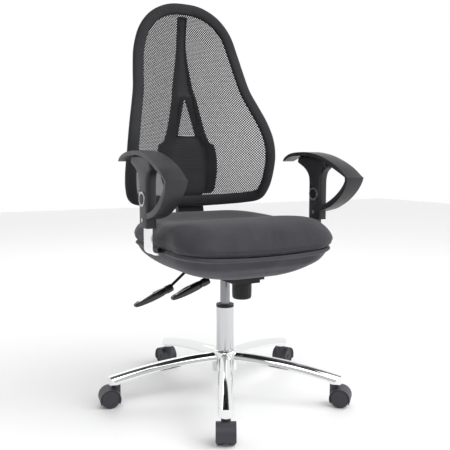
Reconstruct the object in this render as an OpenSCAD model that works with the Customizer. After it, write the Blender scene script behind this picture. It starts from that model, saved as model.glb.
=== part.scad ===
// Swivel office chair: five-star base, gas lift, synchronous tilt, net backrest, two arms.
// Millimetres, +Z up, sitter faces -Y, origin on the floor under the column.

/* [Base] */
// Column centre to castor stem
star_radius = 317; // [240:1:400]
// Turn of the star about the column, degrees
star_turn = 28; // [0:1:71]
// Leg width
leg_w = 40; // [32:1:50]
// Leg depth
leg_h = 22; // [18:1:28]
// Radius of the leg's arch
leg_arch = 1400; // [1100:10:2000]
// Hub diameter
hub_d = 74; // [66:1:84]
// Column tube diameter
tube_d = 50; // [46:0.5:54]

/* [Castors] */
// Wheel diameter
wheel_d = 50; // [40:1:62]
// Width of one wheel
wheel_w = 19; // [14:0.5:24]
// Stem to axle, level distance
castor_trail = 18; // [14:1:24]
// Castor stem diameter
stem_d = 11; // [9:0.5:12]

/* [Gas lift] */
// Lift cylinder diameter
lift_d = 28; // [26:0.5:30]
// Height of the top of the column tube
tube_top = 256; // [240:1:290]
// Lift cylinder showing between collar and mechanism
lift_show = 80; // [65:1:95]

/* [Cushion and lower shell] */
// Cushion width
seat_w = 492; // [390:2:590]
// Cushion depth
seat_d = 464; // [386:2:560]
// Cushion underside above the mechanism underside
seat_rise = 108; // [100:1:125]
// Cushion thickness at the back
cushion_h = 62; // [50:1:80]
// Lower shell wall
shell_wall = 4; // [3:0.5:6]

/* [Backrest] */
// Backrest width
back_w = 488; // [390:2:590]
// Backrest height
back_h = 627; // [520:1:760]
// Width of the frame member
frame_w = 34; // [26:1:40]
// Depth of the frame member
frame_t = 16; // [12:1:20]
// Spine plate thickness
spine_t = 10; // [8:0.5:14]
// Net thickness
net_t = 1.6; // [1.2:0.1:3]
// Lean of the back bar, degrees
bar_lean = 9; // [5:0.5:14]

/* [Arms] */
// Cushion side to arm post
arm_gap = 5; // [3:0.5:20]
// Post width, fore and aft
post_w = 53; // [50:1:70]
// Post thickness
post_t = 28; // [26:1:40]
// Arm bar width
arm_bar_w = 45; // [36:1:48]
// Arm bar thickness
arm_bar_t = 6; // [5:0.5:8]
// Armrest width
rest_w = 56; // [44:1:70]
// Height button diameter
button_d = 26; // [20:1:28]

/* [Levers and knob] */
// Tension knob diameter
knob_d = 54; // [46:1:60]
// Tension knob height
knob_h = 46; // [38:1:50]
// Handle length
handle_l = 104; // [84:1:124]

/* [Output] */
// Piece to draw

/* [Hidden] */
$fn = 64;
fit = 0.05;
gap = 0.3;
leg_foot = wheel_d + 12;
leg_tip = star_radius + leg_w / 2;
arch_z = leg_foot + leg_h - sqrt(leg_arch * leg_arch - leg_tip * leg_tip);
leg_top = arch_z + leg_arch;
hub_top = leg_top + 6;
hub_foot = hub_top - 60;
axle_z = wheel_d / 2;
axle_d = 6;
hood_r = wheel_d / 2 + 3.5;
web_t = 8;
wheel_in = web_t / 2 + 0.8;
hood_w = 2 * (wheel_in + wheel_w) + 2;
tube_bore = tube_d - 6;
collar_h = 8;
collar_top = tube_top + collar_h;
mech_z = collar_top + lift_show;
mech_w = 104;
mech_top = mech_z + 48;
rod_d = 10;
seat_axis_y = -70;
seat_axis_z = mech_z + 61;
back_axis_y = 60;
back_axis_z = mech_z + 28;
pin_d = 12;
height_lever_z = mech_z + 40;
tilt_lever_z = mech_z + 15;
lever_x = -mech_w / 2 - 10;
height_lever_y = 18;
tilt_lever_y = -40;
knob_y = -97;
seat_z = mech_z + seat_rise;
seat_y = -16;
board_t = 10;
board_z = seat_z - board_t;
plate_t = 4;
rim_z = seat_z - 2;
rim_drop = 88;
bar_w = 60;
bar_t = 8;
bend_r = 40;
bar_y0 = 177.5;
bar_rise = bar_y0 + bend_r * cos(bar_lean);
bar_rise_z = back_axis_z - 4 + bend_r * (1 - sin(bar_lean));
back_z = seat_z + 80;
arm_y = -80;
arm_x = seat_w / 2 + arm_gap + post_t / 2;
rest_x = arm_x - 4.4;
post_z = seat_z + 53;
rest_z = seat_z + 247;
button_z = seat_z + 126;
arm_bend = 10;

// ---- helpers ----

module rod_x(d, x1, x2) {
    translate([x1, 0, 0]) rotate([0, 90, 0]) cylinder(d = d, h = x2 - x1);
}

module rod_y(d, y1, y2) {
    translate([0, y2, 0]) rotate([90, 0, 0]) cylinder(d = d, h = y2 - y1);
}

module plan(w, d, r) {
    square([w - 2 * r, d], center = true);
    square([w, d - 2 * r], center = true);
    for (sx = [-1, 1], sy = [-1, 1])
        translate([sx * (w / 2 - r), sy * (d / 2 - r)]) circle(r = r);
}

module slab(w, d, r, z, h) {
    translate([0, 0, z]) linear_extrude(h) plan(w, d, r);
}

// Four corner discs of a w by d plate, tighter at the front than at the back
module corners(w, d, front_r, back_r, z, h) {
    for (s = [-1, 1]) {
        translate([s * (w / 2 - front_r), front_r - d / 2, z]) cylinder(r = front_r, h = h);
        translate([s * (w / 2 - back_r), d / 2 - back_r, z]) cylinder(r = back_r, h = h);
    }
}

// A side profile given as [y, z] points, drawn w wide in X
module side(points, w) {
    translate([-w / 2, 0, 0]) rotate([90, 0, 90]) linear_extrude(w) polygon(points);
}

// A front outline given as [x, z] points, drawn from y1 to y2
module front(points, y1, y2) {
    translate([0, y2, 0]) rotate([90, 0, 0]) linear_extrude(y2 - y1) polygon(points);
}

function smooth(a, b, c, d, t) =
    b + t * ((c - a) / 2 + t * ((2 * a - 5 * b + 4 * c - d) / 2 + t * (3 * b - a - 3 * c + d) / 2));
function curve(p, k) = let (n = len(p)) [for (i = [0:n - 2], j = [0:k - 1])
    smooth(p[max(i - 1, 0)], p[i], p[i + 1], p[min(i + 2, n - 1)], j / k), p[n - 1]];
function loop(p, k) = let (n = len(p)) [for (i = [0:n - 1], j = [0:k - 1])
    smooth(p[(i + n - 1) % n], p[i], p[(i + 1) % n], p[(i + 2) % n], j / k)];
function unit(v) = v / norm(v);
function at(p, z) = lookup(z, p);

module at_leg(i) {
    rotate([0, 0, -90 - star_turn + 72 * i]) children();
}

module at_castor(i) {
    at_leg(i) translate([star_radius, 0, 0]) children();
}

// ---- base ----

module base_hub() {
    color("Silver") difference() {
        rotate_extrude() {
            difference() {
                translate([0, hub_foot]) square([hub_d / 2, hub_top - hub_foot]);
                translate([hub_d / 2 - 8, hub_top - 8]) square(9);
            }
            translate([hub_d / 2 - 8, hub_top - 8]) circle(r = 8);
        }
        translate([0, 0, hub_foot - 1]) cylinder(d = tube_d + 2 * fit, h = 70);
    }
}

module leg_section() {
    translate([-leg_h, -leg_w / 2]) square([leg_h - leg_w / 2, leg_w]);
    intersection() {
        translate([-leg_w / 2, 0]) circle(d = leg_w);
        translate([-leg_w / 2 - 0.01, -leg_w / 2]) square(leg_w);
    }
}

module leg(i) {
    color("Silver") at_leg(i) difference() {
        union() {
            intersection() {
                translate([0, 0, arch_z]) rotate([90, -70, 0])
                    rotate_extrude(angle = 20, $fn = 200) translate([leg_arch, 0]) leg_section();
                union() {
                    translate([hub_d / 2 - 6, -leg_w / 2, 0]) cube([star_radius - hub_d / 2 + 6, leg_w, 160]);
                    translate([star_radius, 0, 0]) cylinder(d = leg_w, h = 160);
                }
            }
            translate([star_radius, 0, leg_foot]) cylinder(d = leg_w - 12, h = leg_h - 8);
        }
        cylinder(d = hub_d + 2 * fit, h = 200);
        translate([star_radius, 0, leg_foot - 1]) cylinder(d = stem_d + 2 * fit, h = leg_h - 5);
    }
}

module gas_tube() {
    color("Silver") difference() {
        translate([0, 0, hub_foot - 6]) cylinder(d = tube_d, h = tube_top - hub_foot + 6);
        translate([0, 0, hub_foot]) cylinder(d = tube_bore, h = tube_top);
        translate([0, 0, hub_foot - 7]) cylinder(d = rod_d + 2 * fit, h = 20);
    }
}

module tube_collar() {
    color("Black") difference() {
        union() {
            translate([0, 0, tube_top]) cylinder(d = tube_d + 1, h = collar_h);
            translate([0, 0, tube_top - 22]) cylinder(d = tube_bore - 2 * fit, h = 23);
        }
        translate([0, 0, tube_top - 23]) cylinder(d = lift_d + 2 * fit, h = 60);
    }
}

module gas_rod() {
    color("Silver") {
        translate([0, 0, hub_foot - 6]) cylinder(d = rod_d, h = tube_top + 12 - hub_foot);
        translate([0, 0, tube_top]) cylinder(d = lift_d - 6 - 2 * fit, h = 8);
    }
}

module gas_cylinder() {
    color("Gray") difference() {
        translate([0, 0, tube_top - 122]) cylinder(d = lift_d, h = mech_z + 34 - tube_top + 122);
        translate([0, 0, tube_top - 112]) cylinder(d = lift_d - 6, h = mech_z - tube_top + 106);
        translate([0, 0, tube_top - 123]) cylinder(d = rod_d + 2 * fit, h = 20);
    }
}

// ---- castors ----

module wheel_space(d) {
    for (s = [-1, 1]) translate([castor_trail, s * (web_t / 2 + 20), axle_z])
        rod_y(d, -20, 20);
}

module castor_hood(i) {
    color([0.1, 0.1, 0.1]) at_castor(i) difference() {
        union() {
            translate([castor_trail, 0, axle_z]) rod_y(2 * hood_r, -hood_w / 2, hood_w / 2);
            cylinder(d = leg_w - 16, h = leg_foot - 0.2);
            translate([0, 0, leg_foot - 1]) cylinder(d = stem_d, h = leg_h - 9);
        }
        wheel_space(wheel_d + 1.4);
        translate([-60, -40, -10]) cube([120, 80, 10 + axle_z - 12]);
        translate([castor_trail, 0, axle_z]) rod_y(axle_d + 2 * fit, -40, 40);
    }
}

module castor_axle(i) {
    color("Silver") at_castor(i) translate([castor_trail, 0, axle_z])
        rod_y(axle_d, -wheel_in - wheel_w + 5, wheel_in + wheel_w - 5);
}

module wheel(i, s) {
    color([0.12, 0.12, 0.12]) at_castor(i) translate([castor_trail, 0, axle_z])
        rotate([s * 90, 0, 0]) translate([0, 0, wheel_in]) difference() {
            rotate_extrude() {
                square([wheel_d / 2 - 3, wheel_w]);
                translate([0, 3]) square([wheel_d / 2, wheel_w - 6]);
                for (z = [3, wheel_w - 3]) translate([wheel_d / 2 - 3, z]) circle(r = 3);
            }
            translate([0, 0, -1]) cylinder(d = axle_d + 2 * fit, h = wheel_w - 3);
            translate([0, 0, wheel_w - 1.5]) difference() {
                cylinder(r = wheel_d / 2 - 6, h = 5);
                translate([0, 0, -1]) cylinder(r = 7, h = 9);
            }
        }
}

// ---- mechanism ----

module mech_housing() {
    color([0.16, 0.16, 0.17]) difference() {
        union() {
            side([[-130, mech_z + 8], [-130, mech_z + 41], [-96, mech_z + 76], [-46, mech_z + 76],
                [-20, mech_top], [92, mech_top], [92, mech_z + 22], [74, mech_z + 8]], mech_w);
            side([[-130, mech_z], [-130, mech_z + 9], [60, mech_z + 9], [60, mech_z]], 76);
            for (p = [[height_lever_y, height_lever_z], [tilt_lever_y, tilt_lever_z]], s = [-1, 1])
                translate([0, p[0] + s * 8.5, p[1]]) {
                translate([-mech_w / 2 - 10, -2, -9]) cube([12, 4, 18]);
                translate([lever_x, 0, 0]) rod_y(18, -2, 2);
            }
        }
        translate([0, 0, mech_z - 1]) cylinder(d = lift_d + 2 * fit, h = 36);
        translate([0, knob_y, mech_z - 1]) cylinder(d = rod_d + 2 * fit, h = 29);
        translate([0, seat_axis_y, seat_axis_z]) rod_x(pin_d + 2 * fit, -80, 80);
        translate([0, back_axis_y, back_axis_z]) rod_x(pin_d + 2 * fit, -80, 80);
        translate([lever_x, height_lever_y, height_lever_z]) rod_y(5 + 2 * fit, -20, 20);
        translate([lever_x, tilt_lever_y, tilt_lever_z]) rod_y(5 + 2 * fit, -20, 20);
    }
}

module seat_pin() {
    color("Silver") translate([0, seat_axis_y, seat_axis_z]) rod_x(pin_d, -mech_w / 2 - 10, mech_w / 2 + 10);
}

module back_pin() {
    color("Silver") translate([0, back_axis_y, back_axis_z]) rod_x(pin_d, -mech_w / 2 - 10, mech_w / 2 + 10);
}

module lever_pins() {
    color("Silver") {
        translate([lever_x, height_lever_y, height_lever_z]) rod_y(5, -12, 12);
        translate([lever_x, tilt_lever_y, tilt_lever_z]) rod_y(5, -12, 12);
    }
}

module tension_knob() {
    color("Black") translate([0, knob_y, 0]) {
        difference() {
            translate([0, 0, mech_z - gap - knob_h]) cylinder(d = knob_d, h = knob_h);
            for (a = [0:24:359]) rotate([0, 0, a]) translate([knob_d / 2 + 1.5, 0, mech_z - knob_h - 1])
                cylinder(d = 6, h = knob_h - 8);
        }
        translate([0, 0, mech_z - 1]) cylinder(d = rod_d, h = 26);
    }
}

// ---- levers ----

// Bent rod from the pivot: out, then down to where the handle starts
module lever_rod(y, z, out, x2, drop) {
    translate([lever_x, y, z]) {
        difference() {
            union() {
                rod_y(13, -6, 6);
                rotate([0, -90, 0]) cylinder(d = 8, h = out);
                translate([-out, 0, 0]) sphere(d = 8.8);
                translate([-out, 0, 0]) rotate([0, -90 - atan(drop / x2), 0]) cylinder(d = 8, h = norm([x2, drop]));
            }
            rod_y(5 + 2 * fit, -10, 10);
        }
    }
}

// Paddle sloping down from the rod's end
module lever_handle(y, z, out, x2, drop) {
    translate([lever_x - out - x2, y, z - drop]) rotate([0, -20, 0]) difference() {
        hull() {
            translate([6, 0, -9]) cylinder(d = 18, h = 19);
            translate([-handle_l * 0.55, 0, -10]) cylinder(d = 28, h = 19);
            translate([-handle_l + 10, 0, -6]) cylinder(d = 20, h = 11);
        }
        rotate([0, 20, 0]) rotate([0, 90 - atan(drop / x2), 0]) cylinder(d = 8 + 2 * fit, h = 60, center = true);
    }
}

module height_rod() {
    color("Silver") lever_rod(height_lever_y, height_lever_z, 30, 80, 65);
}

module height_handle() {
    color("Black") lever_handle(height_lever_y, height_lever_z, 30, 80, 65);
}

module tilt_rod() {
    color("Silver") lever_rod(tilt_lever_y, tilt_lever_z, 14, 12, 18);
}

module tilt_handle() {
    color("Black") lever_handle(tilt_lever_y, tilt_lever_z, 14, 12, 18);
}

// ---- cushion and what carries it ----

module mounting_plate() {
    color([0.16, 0.16, 0.17]) difference() {
        union() {
            translate([0, 5, 0]) slab(140, 240, 12, board_z - plate_t, plate_t);
            for (s = [-1, 1]) translate([s * (mech_w / 2 + 3.5) - 2.5, 0, 0]) {
                translate([0, seat_axis_y - 18, seat_axis_z]) cube([5, 36, board_z - plate_t - seat_axis_z]);
                translate([0, seat_axis_y, seat_axis_z]) rod_x(36, 0, 5);
            }
        }
        translate([0, seat_axis_y, seat_axis_z]) rod_x(pin_d + 2 * fit, -80, 80);
    }
}

module cushion_board() {
    color("BurlyWood") translate([0, seat_y, 0]) slab(seat_w - 80, seat_d - 84, 80, board_z, board_t);
}

// Deep under the front half, shallow under the back; t thickens it inwards
module shell_bowl(t) {
    w = seat_w - 40 - 2 * t;
    d = seat_d - 26 - 2 * t;
    translate([0, seat_y, 0]) hull() {
        corners(w, d, 76, 120, rim_z - 6, 6);
        translate([0, -2, 0]) corners(w - 6, d - 18, 80, 120, rim_z - 16, 1);
        translate([0, -24, 0]) corners(w - 34, d - 70, 90, 116, rim_z - 40 + t / 2, 1);
        translate([0, -52, 0]) corners(w - 116, d - 164, 90, 90, rim_z - rim_drop + 20 + t, 1);
        translate([0, -72, 0]) corners(w - 260, d - 270, 60, 60, rim_z - rim_drop + t, 1);
    }
}

module lower_shell() {
    color([0.2, 0.2, 0.21]) difference() {
        shell_bowl(0);
        translate([0, 0, 0.01]) shell_bowl(shell_wall);
        translate([0, seat_y, 0]) hull()
            corners(seat_w - 40 - 2 * shell_wall, seat_d - 26 - 2 * shell_wall, 72, 116, rim_z - 5, 9);
        translate([-72, -148, 0]) cube([144, 400, rim_z - 8]);
        translate([-150, tilt_lever_y - 24, 0]) cube([100, height_lever_y - tilt_lever_y + 48, mech_z + 62]);
        translate([-seat_w, arm_y - arm_bar_w / 2 - 1, board_z - arm_bar_t - 1])
            cube([2 * seat_w, arm_bar_w + 2, arm_bar_t + 10]);
    }
}

module cushion() {
    color([0.24, 0.24, 0.25]) translate([0, seat_y, 0]) hull() {
        corners(seat_w - 24, seat_d - 24, 70, 120, seat_z, 2);
        corners(seat_w, seat_d, 80, 130, seat_z + 12, 20);
        translate([0, 0, seat_z + cushion_h - 8]) rotate([3.4, 0, 0]) corners(seat_w - 64, seat_d - 70, 74, 110, -4, 6);
    }
}

// ---- backrest ----

// Front face of the spine: [height above the backrest's foot, y]
spine_y = [[-14, 216], [20, 220], [114, 235], [208, 250], [329, 266], [370, 279], [440, 286], [501, 288],
    [575, 279], [627, 271]];
k_w = back_w / 488;
k_h = back_h / 627;
spine_line = [for (p = spine_y) [p[0] * k_h, p[1]]];
spine_z = [for (p = spine_line) p[0]];

// Centre line of the right half of the frame: [x, y, height above the backrest's foot]
half_frame = [[0, 271, 612], [54, 269, 606], [104, 264, 580], [140, 256, 536], [160, 246, 478], [171, 225, 418],
    [181, 199, 358], [196, 171, 308], [212, 144, 258], [224, 126, 208], [230, 123, 158], [231, 135, 108],
    [226, 150, 64], [211, 167, 34], [170, 186, 25], [120, 201, 21], [56, 212, 18]];
frame_points = concat([for (p = half_frame) p], [[0, 216, 17]],
    [for (i = [len(half_frame) - 1:-1:1]) [-half_frame[i][0], half_frame[i][1], half_frame[i][2]]]);
frame_path = [for (p = loop(frame_points, 3)) [p[0] * k_w, p[1], back_z + p[2] * k_h]];

module frame_tube(grow) {
    n = len(frame_path);
    m = 12;
    pts = [for (i = [0:n - 1]) let (
            t = unit(frame_path[(i + 1) % n] - frame_path[(i + n - 1) % n]),
            u = unit(cross(t, [0, 1, 0])),
            v = cross(u, t))
        for (j = [0:m - 1]) let (a = 360 * j / m)
            frame_path[i] + u * (frame_w / 2 + grow) * cos(a) + v * (frame_t / 2 + grow) * sin(a)];
    polyhedron(points = pts, faces = [for (i = [0:n - 1], j = [0:m - 1])
        [i * m + j, i * m + (j + 1) % m, ((i + 1) % n) * m + (j + 1) % m, ((i + 1) % n) * m + j]]);
}

// Half width of the net and y of its edge at each height, from the frame
edge = curve([for (i = [1:15]) half_frame[i]], 4);
edge_x = [for (i = [len(edge) - 1:-1:0]) [edge[i][2] * k_h, edge[i][0] * k_w]];
edge_y = [for (i = [len(edge) - 1:-1:0]) [edge[i][2] * k_h, edge[i][1]]];

module back_frame() {
    color("Black") frame_tube(0);
}
module back_net() {
    rows = 30;
    cols = 20;
    z0 = 44 * k_h;
    z1 = 592 * k_h;
    spine_s = curve(spine_line, 4);
    function net_y(u, z) = let (
            c = lookup(z, spine_s) - net_t - 1.5,
            e = lookup(z, edge_y) - net_t / 2)
        c + (e - c) * pow(abs(u), 1.8);
    n = (rows + 1) * (cols + 1);
    function id(i, j) = i * (cols + 1) + j;
    pts = [for (t = [0, net_t], i = [0:rows], j = [0:cols]) let (
            z = z0 + (z1 - z0) * i / rows,
            u = 2 * j / cols - 1)
        [u * (lookup(z, edge_x) - frame_w / 2), net_y(u, z) + t, back_z + z]];
    color([0.3, 0.3, 0.3]) difference() {
        polyhedron(points = pts, faces = concat(
        [for (i = [0:rows - 1], j = [0:cols - 1], h = [0, 1]) h == 0 ?
            [id(i, j), id(i + 1, j), id(i + 1, j + 1)] : [id(i, j), id(i + 1, j + 1), id(i, j + 1)]],
        [for (i = [0:rows - 1], j = [0:cols - 1], h = [0, 1]) h == 0 ?
            [n + id(i, j), n + id(i + 1, j + 1), n + id(i + 1, j)] :
            [n + id(i, j), n + id(i, j + 1), n + id(i + 1, j + 1)]],
        [for (i = [0:rows - 1]) [id(i, 0), n + id(i, 0), n + id(i + 1, 0), id(i + 1, 0)]],
        [for (i = [0:rows - 1]) [id(i, cols), id(i + 1, cols), n + id(i + 1, cols), n + id(i, cols)]],
        [for (j = [0:cols - 1]) [id(0, j), id(0, j + 1), n + id(0, j + 1), n + id(0, j)]],
        [for (j = [0:cols - 1]) [id(rows, j), n + id(rows, j), n + id(rows, j + 1), id(rows, j + 1)]]));
        frame_tube(0.6);
    }
}

module spine_slab(t) {
    line = curve(spine_line, 4);
    side(concat([for (p = line) [p[1], back_z + p[0]]],
        [for (i = [len(line) - 1:-1:0]) [line[i][1] + t, back_z + line[i][0]]]), 300);
}

module back_spine() {
    half = [[17, 592], [16, 540], [18, 480], [30, 400], [44, 330], [62, 250], [78, 205], [96, 190], [102, 160],
        [100, 110], [90, 66], [82, 46], [66, 38]];
    c = curve(half, 4);
    color("Black") difference() {
        intersection() {
            front([for (p = concat(c, [for (i = [len(c) - 1:-1:0]) [-c[i][0], c[i][1]]]))
                [p[0] * k_w, back_z + p[1] * k_h]], 150, 350);
            spine_slab(spine_t);
        }
        front([[0, back_z + 343 * k_h], [31 * k_w, back_z + 220 * k_h], [-31 * k_w, back_z + 220 * k_h]], 100, 400);
        for (i = [0:7]) translate([-66 * k_w, lookup((46 + 18 * i) * k_h, spine_line) + 1.5, back_z + (46 + 18 * i) * k_h])
            rotate([60, 0, 0]) mirror([0, 0, 1]) translate([0, -3, -6]) cube([132 * k_w, 4, 8]);
    }
}

// Moves a drawing made along +Z to the straight part of the back bar, z = 0 at its lower end
module on_bar() {
    translate([0, bar_rise, bar_rise_z]) rotate([-bar_lean, 0, 0]) children();
}

// One face of the bent bar, from its level end to its top, [y, z]; way -1 gives it top first
function bar_bend(r, way) = let (
    n = 12,
    arc = [for (i = [0:n]) let (a = (90 - bar_lean) * i / n)
        [bar_y0 + r * sin(a), back_axis_z - 4 + bend_r - r * cos(a)]],
    all = concat(arc, [arc[n] + 280 * [sin(bar_lean), cos(bar_lean)]]))
    way > 0 ? all : [for (i = [n + 1:-1:0]) all[i]];

module back_carrier() {
    z0 = back_axis_z - 4;
    color([0.16, 0.16, 0.17]) {
        difference() {
            union() {
                for (s = [-1, 1]) translate([s * (mech_w / 2 + 3.5) - 2.5, 0, 0]) {
                    translate([0, back_axis_y, back_axis_z]) rod_x(28, 0, 5);
                    translate([0, back_axis_y, back_axis_z - 14]) cube([5, 54, 28]);
                }
                translate([-mech_w / 2 - 6, 104, back_axis_z - 14]) cube([mech_w + 12, 10, 28]);
            }
            translate([0, back_axis_y, back_axis_z]) rod_x(pin_d + 2 * fit, -80, 80);
        }
        side(concat([[110, z0 + bar_t / 2]], bar_bend(bend_r - bar_t / 2, 1), bar_bend(bend_r + bar_t / 2, -1),
            [[110, z0 - bar_t / 2]]), bar_w);
    }
}

module back_socket() {
    color("Black") on_bar() difference() {
        translate([-44, -9.6, 112]) cube([88, 20.6, 184]);
        translate([-bar_w / 2 - fit * 4, -bar_t / 2 - fit * 4, 60]) cube([bar_w + fit * 8, bar_t + fit * 8, 340]);
    }
}

// ---- arms ----

// Upper edge of the armrest arc, [y, height], back to front
rest_top = [[82, -27], [70, -15], [34, -4], [-10, 0], [-60, 0], [-115, -8], [-165, -23], [-210, -43], [-243, -65]];
rest_under = [[-240, -69], [-205, -53], [-160, -34], [-115, -19], [-60, -11], [-10, -11], [34, -14], [74, -26]];
rest_return = [[-243, -66], [-240, -79], [-224, -98], [-191, -123], [-150, -144], [-109.1, -156]];
rest_inner = [[-109.1, -170], [-156, -158], [-199, -136], [-231, -109], [-248, -84], [-252, -69]];

module rest_outline() {
    polygon([for (p = concat(curve(rest_top, 4), [[-250, -70]], curve([for (i = [5:-1:0]) rest_inner[i]], 4),
        curve([for (i = [5:-1:1]) rest_return[i]], 4), curve(rest_under, 4))) [p[0], rest_z + p[1]]]);
}

module arm_rest(s) {
    color([0.11, 0.11, 0.11]) translate([s * rest_x, 0, 0]) intersection() {
        translate([-rest_w / 2, 0, 0]) rotate([90, 0, 90]) linear_extrude(rest_w) rest_outline();
        front([[-rest_w / 2, rest_z - 70], [-rest_w / 2 + 3, rest_z + 9], [rest_w / 2 - 3, rest_z + 9],
            [rest_w / 2, rest_z - 70], [20, rest_z - 152], [20, rest_z - 180], [-20, rest_z - 180],
            [-20, rest_z - 152]], -400, 200);
        mirror([s < 0 ? 1 : 0, 0, 0]) translate([0, 0, rest_z - 250]) linear_extrude(300)
            polygon([[-rest_w / 2, -400], [rest_w / 2, -400], [rest_w / 2, 90], [-rest_w / 2 + 18, 90],
                [-rest_w / 2, -20]]);
    }
}

module arm_post(s) {
    y0 = arm_y - post_w / 2;
    y1 = arm_y + post_w / 2;
    z0 = rest_z - 90;
    under = curve([for (i = [len(rest_under) - 1:-1:0]) rest_under[i]], 4);
    color([0.13, 0.13, 0.13]) translate([s * arm_x, 0, 0]) difference() {
        side(concat([[y0, post_z], [y1, post_z]],
            curve([[y1, z0], [y1 + 4, z0 + 22], [y1 + 24, z0 + 42], [y1 + 62, z0 + 60]], 4),
            [for (p = under) if (p[0] < y1 + 58 && p[0] > y0 - 26) [p[0], rest_z + p[1] - 0.1]],
            curve([[y0 - 28, z0 + 46], [y0 - 10, z0 + 34], [y0 - 2, z0 + 18], [y0, z0]], 4)), post_t);
        translate([-arm_bar_t / 2 - fit * 4, arm_y - arm_bar_w / 2 - fit * 4, post_z - 1])
            cube([arm_bar_t + fit * 8, arm_bar_w + fit * 8, rest_z - 90 - post_z + 57]);
        translate([0, arm_y, button_z]) rod_x(button_d + 2 * fit, -post_t / 2 - 1, -post_t / 2 + 5.5);
        translate([0, arm_y, post_z + 20]) rod_x(5 + 2 * fit, -post_t / 2 - 1, -post_t / 2 + 5.5);
    }
}

module button_ring(s) {
    color("Silver") translate([s * arm_x - post_t / 2, arm_y, button_z]) difference() {
        rod_x(button_d + 12, -3, 0);
        rod_x(button_d + 2, -4, 1);
    }
}

module arm_button(s) {
    color([0.1, 0.1, 0.1]) translate([s * arm_x - post_t / 2, arm_y, button_z]) rod_x(button_d, -4, 2);
}

module arm_screw(s) {
    color("Silver") translate([s * arm_x - post_t / 2, arm_y, post_z + 20]) difference() {
        union() {
            rod_x(10, -2.5, 0);
            rod_x(5, -1, 5);
        }
        translate([-3, -4, -0.8]) cube([1.5, 8, 1.6]);
    }
}

module arm_bar(s) {
    x1 = arm_x - arm_bar_t / 2;
    z1 = board_z - arm_bar_t;
    color("Silver") mirror([s < 0 ? 1 : 0, 0, 0]) translate([0, arm_y - arm_bar_w / 2, 0]) {
        translate([76, 0, z1]) cube([x1 - arm_bend - 76, arm_bar_w, arm_bar_t]);
        translate([x1 - arm_bend, arm_bar_w, z1 + arm_bend + arm_bar_t]) rotate([90, 0, 0]) rotate([0, 0, -90])
            rotate_extrude(angle = 90) translate([arm_bend, 0]) square([arm_bar_t, arm_bar_w]);
        translate([x1, 0, z1 + arm_bend + arm_bar_t]) cube([arm_bar_t, arm_bar_w, rest_z - 100 - z1 - arm_bend]);
    }
}

base_hub();
leg(1);  // leg_1
leg(2);  // leg_2
leg(3);  // leg_3
leg(4);  // leg_4
leg(5);  // leg_5
gas_tube();
tube_collar();
gas_rod();
gas_cylinder();
castor_hood(1);  // castor_hood_1
castor_hood(2);  // castor_hood_2
castor_hood(3);  // castor_hood_3
castor_hood(4);  // castor_hood_4
castor_hood(5);  // castor_hood_5
castor_axle(1);  // castor_axle_1
castor_axle(2);  // castor_axle_2
castor_axle(3);  // castor_axle_3
castor_axle(4);  // castor_axle_4
castor_axle(5);  // castor_axle_5
wheel(1, 1);  // wheel_1a
wheel(1, -1);  // wheel_1b
wheel(2, 1);  // wheel_2a
wheel(2, -1);  // wheel_2b
wheel(3, 1);  // wheel_3a
wheel(3, -1);  // wheel_3b
wheel(4, 1);  // wheel_4a
wheel(4, -1);  // wheel_4b
wheel(5, 1);  // wheel_5a
wheel(5, -1);  // wheel_5b
mech_housing();
seat_pin();
back_pin();
lever_pins();
tension_knob();
height_rod();
height_handle();
tilt_rod();
tilt_handle();
mounting_plate();
cushion_board();
lower_shell();
cushion();
back_carrier();
back_socket();
back_frame();
back_spine();
back_net();
arm_bar(1);  // arm_bar_left
arm_bar(-1);  // arm_bar_right
arm_post(1);  // arm_post_left
arm_post(-1);  // arm_post_right
arm_rest(1);  // arm_rest_left
arm_rest(-1);  // arm_rest_right
button_ring(1);  // button_ring_left
button_ring(-1);  // button_ring_right
arm_button(1);  // arm_button_left
arm_button(-1);  // arm_button_right
arm_screw(1);  // arm_screw_left
arm_screw(-1);  // arm_screw_right
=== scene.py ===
import bpy, bmesh, math
from mathutils import Vector, Matrix, noise


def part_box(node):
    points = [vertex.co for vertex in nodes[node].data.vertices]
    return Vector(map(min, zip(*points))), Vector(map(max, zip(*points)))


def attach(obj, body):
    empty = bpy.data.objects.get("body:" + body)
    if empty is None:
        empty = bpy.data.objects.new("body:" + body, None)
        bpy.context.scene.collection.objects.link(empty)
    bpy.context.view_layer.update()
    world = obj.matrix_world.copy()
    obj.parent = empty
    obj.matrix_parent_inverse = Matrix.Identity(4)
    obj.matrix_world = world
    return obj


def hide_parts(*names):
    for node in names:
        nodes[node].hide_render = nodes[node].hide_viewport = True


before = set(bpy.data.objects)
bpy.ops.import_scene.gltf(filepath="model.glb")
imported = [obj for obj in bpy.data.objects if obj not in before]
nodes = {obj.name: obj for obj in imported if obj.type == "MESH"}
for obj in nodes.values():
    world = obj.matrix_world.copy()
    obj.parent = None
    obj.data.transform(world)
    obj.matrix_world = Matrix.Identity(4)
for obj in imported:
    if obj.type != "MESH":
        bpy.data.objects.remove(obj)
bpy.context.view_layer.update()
print("frame loaded:", len(nodes), "nodes")


def linear(hexCode):    # sRGB hex to the linear colour that shaders take
    vals = [int(hexCode[i:i + 2], 16) / 255 for i in (1, 3, 5)]
    return tuple(v / 12.92 if v <= 0.04045 else ((v + 0.055) / 1.055) ** 2.4 for v in vals) + (1.0,)


def addNode(tree, kind, settings=None, links=None):    # one node, its settings, and what feeds its inputs
    n = tree.nodes.new(kind)
    for key, val in (settings or {}).items():
        if isinstance(key, int) or key in n.inputs:
            n.inputs[key].default_value = val
        else:
            setattr(n, key, val)
    for key, src in (links or {}).items():
        tree.links.new(src, n.inputs[key])
    return n


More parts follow.
